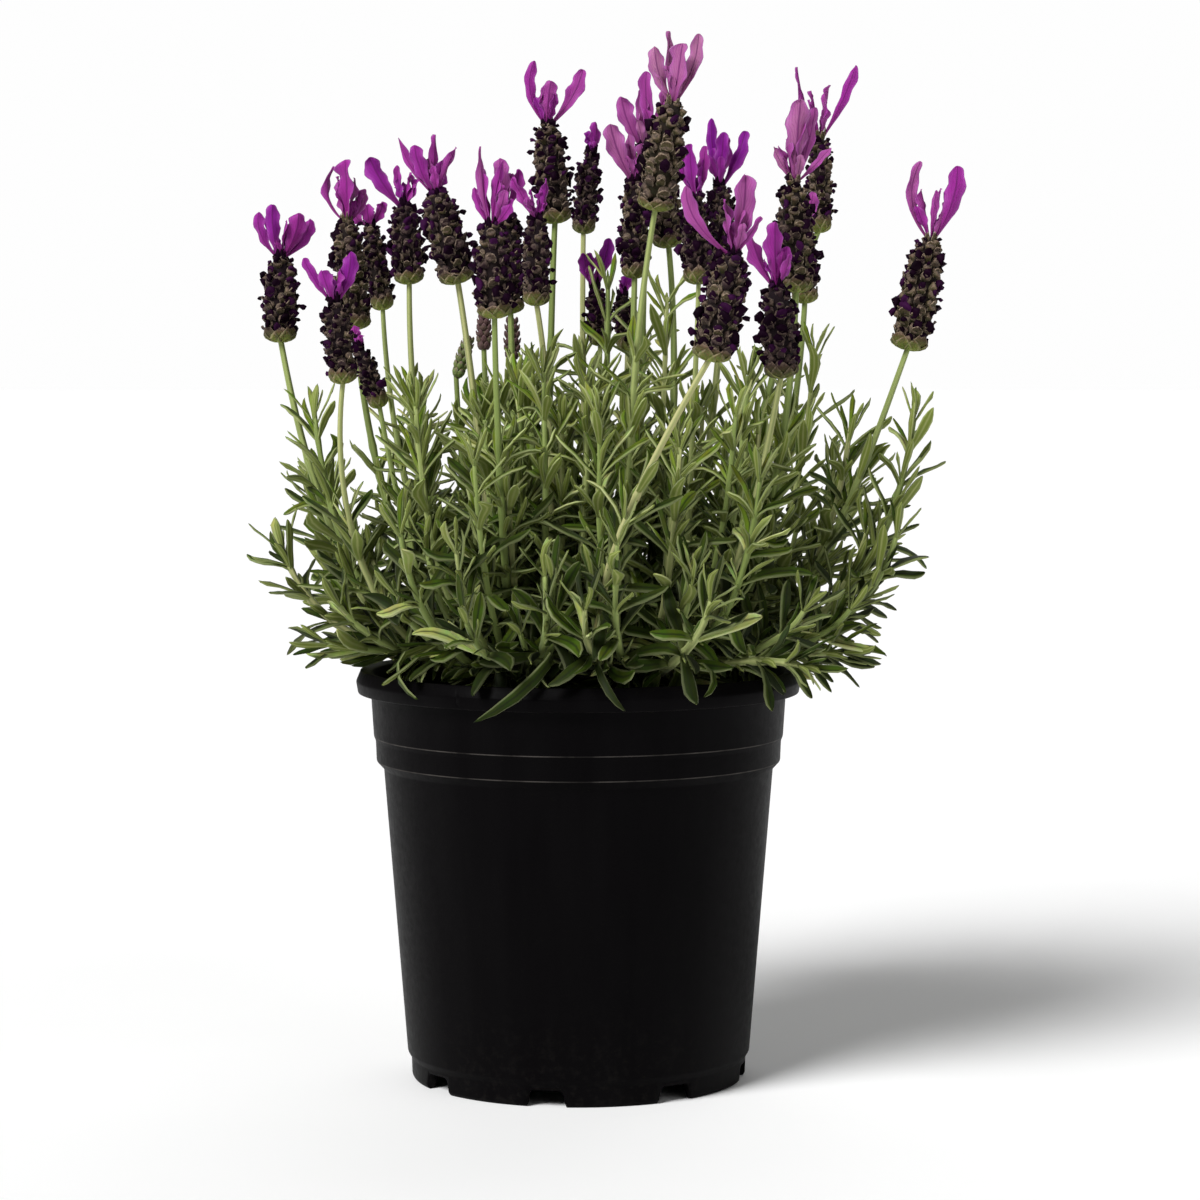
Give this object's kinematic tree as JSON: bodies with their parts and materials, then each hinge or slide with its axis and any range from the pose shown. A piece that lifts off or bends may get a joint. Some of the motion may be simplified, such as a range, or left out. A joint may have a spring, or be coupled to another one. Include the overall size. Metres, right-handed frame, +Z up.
{
  "type": "potted french lavender",
  "caption": "French lavender in a black plastic nursery pot: leafy grey-green shoots, dark knobbly flower spikes and violet bracts on top.",
  "frame": {"origin": "middle of the pot's underside, on the surface it stands on", "axes": "+Z up along the pot's axis, -Y towards the side that faces the viewer, +X to the viewer's right"},
  "size_m": [0.2663, 0.231, 0.3821],
  "materials": {
    "pot_plastic": "black injection-moulded polypropylene, satin with faint scuffs",
    "soil": "dark damp potting compost with bark crumbs",
    "foliage": "grey-green narrow leaves with pale edges on light green square stems, matt and softly downy",
    "spike": "near-black purple florets among olive and tan calyces",
    "bract": "thin magenta-violet bracts with darker veins, slightly translucent"
  },
  "bodies": {
    "root": {"pot": "pot_plastic", "soil": "soil", "branch_left": "foliage", "branch_front_left": "foliage", "branch_front_right": "foliage", "branch_right": "foliage", "branch_back_right": "foliage", "branch_back_left": "foliage", "spike_01": "spike", "bracts_01": "bract", "spike_02": "spike", "bracts_02": "bract", "spike_03": "spike", "bracts_03": "bract", "spike_04": "spike", "bracts_04": "bract", "spike_05": "spike", "bracts_05": "bract", "spike_06": "spike", "bracts_06": "bract", "spike_07": "spike", "bracts_07": "bract", "spike_08": "spike", "bracts_08": "bract", "spike_09": "spike", "bracts_09": "bract", "spike_10": "spike", "bracts_10": "bract", "spike_11": "spike", "bracts_11": "bract", "spike_12": "spike", "bracts_12": "bract", "spike_13": "spike", "bracts_13": "bract", "spike_14": "spike", "bracts_14": "bract", "spike_15": "spike", "bracts_15": "bract", "spike_16": "spike", "bracts_16": "bract", "spike_17": "spike", "bracts_17": "bract", "spike_18": "spike", "bracts_18": "bract", "spike_19": "spike", "bracts_19": "bract", "spike_20": "spike", "bracts_20": "bract", "spike_21": "spike", "bracts_21": "bract", "spike_22": "spike", "bracts_22": "bract", "spike_23": "spike", "bracts_23": "bract", "spike_24": "spike", "bracts_24": "bract", "spike_25": "spike", "bracts_25": "bract", "spike_26": "spike", "bracts_26": "bract"}
  },
  "joints": []
}
